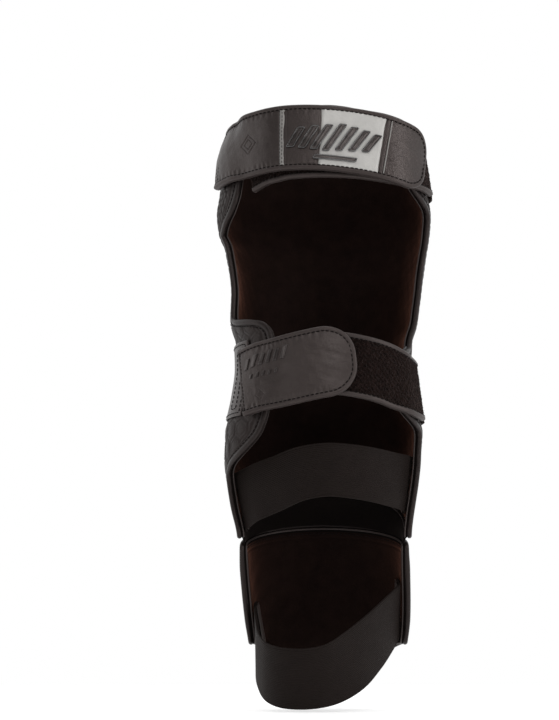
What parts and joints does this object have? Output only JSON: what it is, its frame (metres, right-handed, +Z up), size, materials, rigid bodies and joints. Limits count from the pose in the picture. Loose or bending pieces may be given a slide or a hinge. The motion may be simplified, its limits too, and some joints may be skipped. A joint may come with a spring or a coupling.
{
  "type": "shin and instep guard",
  "caption": "Padded shin and instep guard in black synthetic leather: wrap-around shin pad, hinged instep pad, hook-and-loop calf straps and elastic bands.",
  "frame": {"origin": "on the axis of the wearer's lower leg, level with the underside of the foot strap", "axes": "+Z up the leg towards the knee, +Y forwards to the striking face of the shin, +X to the wearer's right, the outer side of a right leg"},
  "size_m": [0.1922, 0.1837, 0.547],
  "materials": {
    "smooth_leather": "smooth black synthetic leather with a fine grain and a satin sheen",
    "textured_leather": "black synthetic leather embossed with a honeycomb pattern",
    "suede_lining": "very dark brushed lining",
    "foam": "closed-cell EVA and soft PU foam, hidden inside",
    "neoprene": "black knitted padding",
    "edge_tape": "grey-black satin edge tape, stitched",
    "loop_pile": "fuzzy black loop pile",
    "hook_tape": "black hook tape",
    "elastic": "ribbed woven black elastic",
    "stretch_panel": "black stretch fabric",
    "silver_leather": "light silver-grey synthetic leather",
    "grey_tape": "light grey stitched tape",
    "moulded_rubber": "glossy black moulded rubber"
  },
  "bodies": {
    "shin_pad": {"shin_liner": "suede_lining", "shin_comfort_foam": "foam", "shin_impact_foam": "foam", "shin_front_cover": "smooth_leather", "left_wing_cover": "textured_leather", "right_wing_cover": "textured_leather", "ridge_foam": "foam", "ridge_cover": "smooth_leather", "shin_edge_binding": "edge_tape", "upper_loop_anchor": "loop_pile", "mid_loop_anchor": "loop_pile", "mid_root_panel": "smooth_leather", "ankle_elastic": "elastic", "ankle_elastic_left_tab": "edge_tape", "ankle_elastic_right_tab": "edge_tape", "ankle_gusset": "stretch_panel"},
    "instep_pad": {"instep_liner": "suede_lining", "instep_foam": "foam", "instep_cover": "smooth_leather", "instep_ridge_pad": "smooth_leather", "instep_edge_binding": "edge_tape", "foot_elastic": "elastic", "foot_elastic_left_tab": "edge_tape", "foot_elastic_right_tab": "edge_tape"},
    "upper_strap_root": {"upper_root_lining": "neoprene", "upper_root_face": "smooth_leather", "upper_root_top_binding": "edge_tape", "upper_root_bottom_binding": "edge_tape"},
    "upper_strap_tip": {"upper_tip_lining": "neoprene", "upper_tip_face": "smooth_leather", "upper_tip_binding": "edge_tape", "upper_hook_panel": "hook_tape", "patch_side_strip": "grey_tape", "patch_dark_panel": "smooth_leather", "patch_light_panel": "silver_leather", "patch_end_strip": "smooth_leather", "patch_emblem": "moulded_rubber"},
    "mid_flap": {"mid_flap_lining": "neoprene", "mid_flap_face": "smooth_leather", "mid_flap_binding": "edge_tape", "mid_hook_panel": "hook_tape", "mid_flap_badge": "moulded_rubber"},
    "upper_loop_strap": {"upper_loop_backing": "neoprene", "upper_loop_pile": "loop_pile", "upper_loop_binding": "edge_tape"},
    "mid_loop_strap": {"mid_loop_backing": "neoprene", "mid_loop_pile": "loop_pile", "mid_loop_binding": "edge_tape"}
  },
  "joints": [
    {"name": "ankle_flex", "type": "hinge", "parent": "shin_pad", "child": "instep_pad", "pos_m": [0, 0, 0.148], "axis": [1, 0, 0], "range_deg": [-12, 30], "stiffness_Nm_per_rad": 3, "deforming": ["ankle_gusset"]},
    {"name": "upper_strap_open", "type": "hinge", "parent": "shin_pad", "child": "upper_strap_root", "pos_m": [-0.0884, -0.0121, 0.476], "axis": [0, 0, -1], "range_deg": [0, 60]},
    {"name": "upper_strap_peel", "type": "hinge", "parent": "upper_strap_root", "child": "upper_strap_tip", "pos_m": [-0.038, -0.0763, 0.4788], "axis": [0, 0, -1], "range_deg": [0, 100]},
    {"name": "mid_flap_open", "type": "hinge", "parent": "shin_pad", "child": "mid_flap", "pos_m": [-0.0665, -0.0395, 0.2727], "axis": [0.0928, -0.2229, -0.9704], "range_deg": [0, 90]},
    {"name": "upper_loop_swing", "type": "hinge", "parent": "shin_pad", "child": "upper_loop_strap", "pos_m": [0.0896, -0.0121, 0.468], "axis": [0, 0, 1], "range_deg": [0, 15]},
    {"name": "mid_loop_swing", "type": "hinge", "parent": "shin_pad", "child": "mid_loop_strap", "pos_m": [0.0788, -0.0119, 0.27], "axis": [0, 0, 1], "range_deg": [0, 18]}
  ],
  "couplings": [
    {"joint": "upper_loop_swing", "follows": "upper_strap_open", "ratio": 0.25},
    {"joint": "mid_loop_swing", "follows": "mid_flap_open", "ratio": 0.2}
  ]
}
